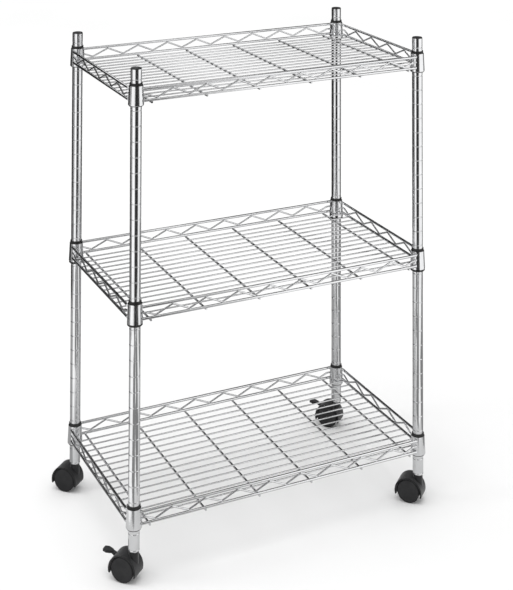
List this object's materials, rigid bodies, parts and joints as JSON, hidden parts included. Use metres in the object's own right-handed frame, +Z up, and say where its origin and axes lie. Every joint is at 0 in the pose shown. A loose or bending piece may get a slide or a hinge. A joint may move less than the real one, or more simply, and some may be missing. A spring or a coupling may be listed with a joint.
{
  "type": "wire shelving rack",
  "caption": "Rolling three-tier wire shelving rack: grooved posts, wire decks with raised truss edges, and swivel casters, some with brake pedals.",
  "frame": {"origin": "on the floor, midway between the four posts", "axes": "+X along the long side towards the right, -Y towards the front, +Z up"},
  "size_m": [0.6063, 0.3654, 0.832],
  "materials": {
    "chrome_plate": "bright chrome plate over steel",
    "plain_steel": "zinc-plated steel",
    "cap_plastic": "moulded black plastic",
    "sleeve_plastic": "moulded black plastic",
    "hood_plastic": "fine-textured black nylon",
    "wheel_plastic": "satin black nylon"
  },
  "bodies": {
    "rack_frame": {"bottom_shelf_collars": "chrome_plate", "bottom_shelf_cross_wires": "chrome_plate", "bottom_shelf_deck_wires": "chrome_plate", "bottom_shelf_lower_rails": "chrome_plate", "bottom_shelf_split_sleeves": "sleeve_plastic", "bottom_shelf_top_rails": "chrome_plate", "bottom_shelf_zigzag_wires": "chrome_plate", "caster_stem_sockets": "sleeve_plastic", "middle_shelf_collars": "chrome_plate", "middle_shelf_cross_wires": "chrome_plate", "middle_shelf_deck_wires": "chrome_plate", "middle_shelf_lower_rails": "chrome_plate", "middle_shelf_split_sleeves": "sleeve_plastic", "middle_shelf_top_rails": "chrome_plate", "middle_shelf_zigzag_wires": "chrome_plate", "post_cap_front_left": "cap_plastic", "post_cap_front_right": "cap_plastic", "post_cap_rear_left": "cap_plastic", "post_cap_rear_right": "cap_plastic", "post_lower_front_left": "chrome_plate", "post_lower_front_right": "chrome_plate", "post_lower_rear_left": "chrome_plate", "post_lower_rear_right": "chrome_plate", "post_section_joiners": "plain_steel", "post_upper_front_left": "chrome_plate", "post_upper_front_right": "chrome_plate", "post_upper_rear_left": "chrome_plate", "post_upper_rear_right": "chrome_plate", "top_shelf_collars": "chrome_plate", "top_shelf_cross_wires": "chrome_plate", "top_shelf_deck_wires": "chrome_plate", "top_shelf_lower_rails": "chrome_plate", "top_shelf_split_sleeves": "sleeve_plastic", "top_shelf_top_rails": "chrome_plate", "top_shelf_zigzag_wires": "chrome_plate"},
    "caster_front_left": {"caster_hood_front_left": "hood_plastic", "caster_stem_front_left": "plain_steel", "caster_axle_front_left": "plain_steel", "brake_pivot_pin_front_left": "plain_steel"},
    "front_left_wheel_a": {"caster_wheel_a_front_left": "wheel_plastic"},
    "front_left_wheel_b": {"caster_wheel_b_front_left": "wheel_plastic"},
    "front_left_brake_lever": {"brake_lever_front_left": "hood_plastic"},
    "caster_front_right": {"caster_hood_front_right": "hood_plastic", "caster_stem_front_right": "plain_steel", "caster_axle_front_right": "plain_steel"},
    "front_right_wheel_a": {"caster_wheel_a_front_right": "wheel_plastic"},
    "front_right_wheel_b": {"caster_wheel_b_front_right": "wheel_plastic"},
    "caster_rear_left": {"caster_hood_rear_left": "hood_plastic", "caster_stem_rear_left": "plain_steel", "caster_axle_rear_left": "plain_steel"},
    "rear_left_wheel_a": {"caster_wheel_a_rear_left": "wheel_plastic"},
    "rear_left_wheel_b": {"caster_wheel_b_rear_left": "wheel_plastic"},
    "caster_rear_right": {"caster_hood_rear_right": "hood_plastic", "caster_stem_rear_right": "plain_steel", "caster_axle_rear_right": "plain_steel", "brake_pivot_pin_rear_right": "plain_steel"},
    "rear_right_wheel_a": {"caster_wheel_a_rear_right": "wheel_plastic"},
    "rear_right_wheel_b": {"caster_wheel_b_rear_right": "wheel_plastic"},
    "rear_right_brake_lever": {"brake_lever_rear_right": "hood_plastic"}
  },
  "joints": [
    {"name": "front_left_swivel", "type": "hinge", "parent": "rack_frame", "child": "caster_front_left", "pos_m": [-0.274, -0.152, 0.0485], "axis": [0, 0, 1], "continuous": true},
    {"name": "front_left_wheel_a_spin", "type": "hinge", "parent": "caster_front_left", "child": "front_left_wheel_a", "pos_m": [-0.28394, -0.14104, 0.0202], "axis": [0.7408, 0.6717, 0], "continuous": true},
    {"name": "front_left_wheel_b_spin", "type": "hinge", "parent": "caster_front_left", "child": "front_left_wheel_b", "pos_m": [-0.28394, -0.14104, 0.0202], "axis": [0.7408, 0.6717, 0], "continuous": true},
    {"name": "front_left_brake", "type": "hinge", "parent": "caster_front_left", "child": "front_left_brake_lever", "pos_m": [-0.292, -0.13215, 0.0322], "axis": [-0.7408, -0.6717, 0], "range_deg": [0, 12]},
    {"name": "front_right_swivel", "type": "hinge", "parent": "rack_frame", "child": "caster_front_right", "pos_m": [0.274, -0.152, 0.0485], "axis": [0, 0, 1], "continuous": true},
    {"name": "front_right_wheel_a_spin", "type": "hinge", "parent": "caster_front_right", "child": "front_right_wheel_a", "pos_m": [0.26406, -0.14104, 0.0202], "axis": [0.7408, 0.6717, 0], "continuous": true},
    {"name": "front_right_wheel_b_spin", "type": "hinge", "parent": "caster_front_right", "child": "front_right_wheel_b", "pos_m": [0.26406, -0.14104, 0.0202], "axis": [0.7408, 0.6717, 0], "continuous": true},
    {"name": "rear_left_swivel", "type": "hinge", "parent": "rack_frame", "child": "caster_rear_left", "pos_m": [-0.274, 0.152, 0.0485], "axis": [0, 0, 1], "continuous": true},
    {"name": "rear_left_wheel_a_spin", "type": "hinge", "parent": "caster_rear_left", "child": "rear_left_wheel_a", "pos_m": [-0.28394, 0.16296, 0.0202], "axis": [0.7408, 0.6717, 0], "continuous": true},
    {"name": "rear_left_wheel_b_spin", "type": "hinge", "parent": "caster_rear_left", "child": "rear_left_wheel_b", "pos_m": [-0.28394, 0.16296, 0.0202], "axis": [0.7408, 0.6717, 0], "continuous": true},
    {"name": "rear_right_swivel", "type": "hinge", "parent": "rack_frame", "child": "caster_rear_right", "pos_m": [0.274, 0.152, 0.0485], "axis": [0, 0, 1], "continuous": true},
    {"name": "rear_right_wheel_a_spin", "type": "hinge", "parent": "caster_rear_right", "child": "rear_right_wheel_a", "pos_m": [0.26406, 0.16296, 0.0202], "axis": [0.7408, 0.6717, 0], "continuous": true},
    {"name": "rear_right_wheel_b_spin", "type": "hinge", "parent": "caster_rear_right", "child": "rear_right_wheel_b", "pos_m": [0.26406, 0.16296, 0.0202], "axis": [0.7408, 0.6717, 0], "continuous": true},
    {"name": "rear_right_brake", "type": "hinge", "parent": "caster_rear_right", "child": "rear_right_brake_lever", "pos_m": [0.256, 0.17185, 0.0322], "axis": [-0.7408, -0.6717, 0], "range_deg": [0, 12]}
  ]
}
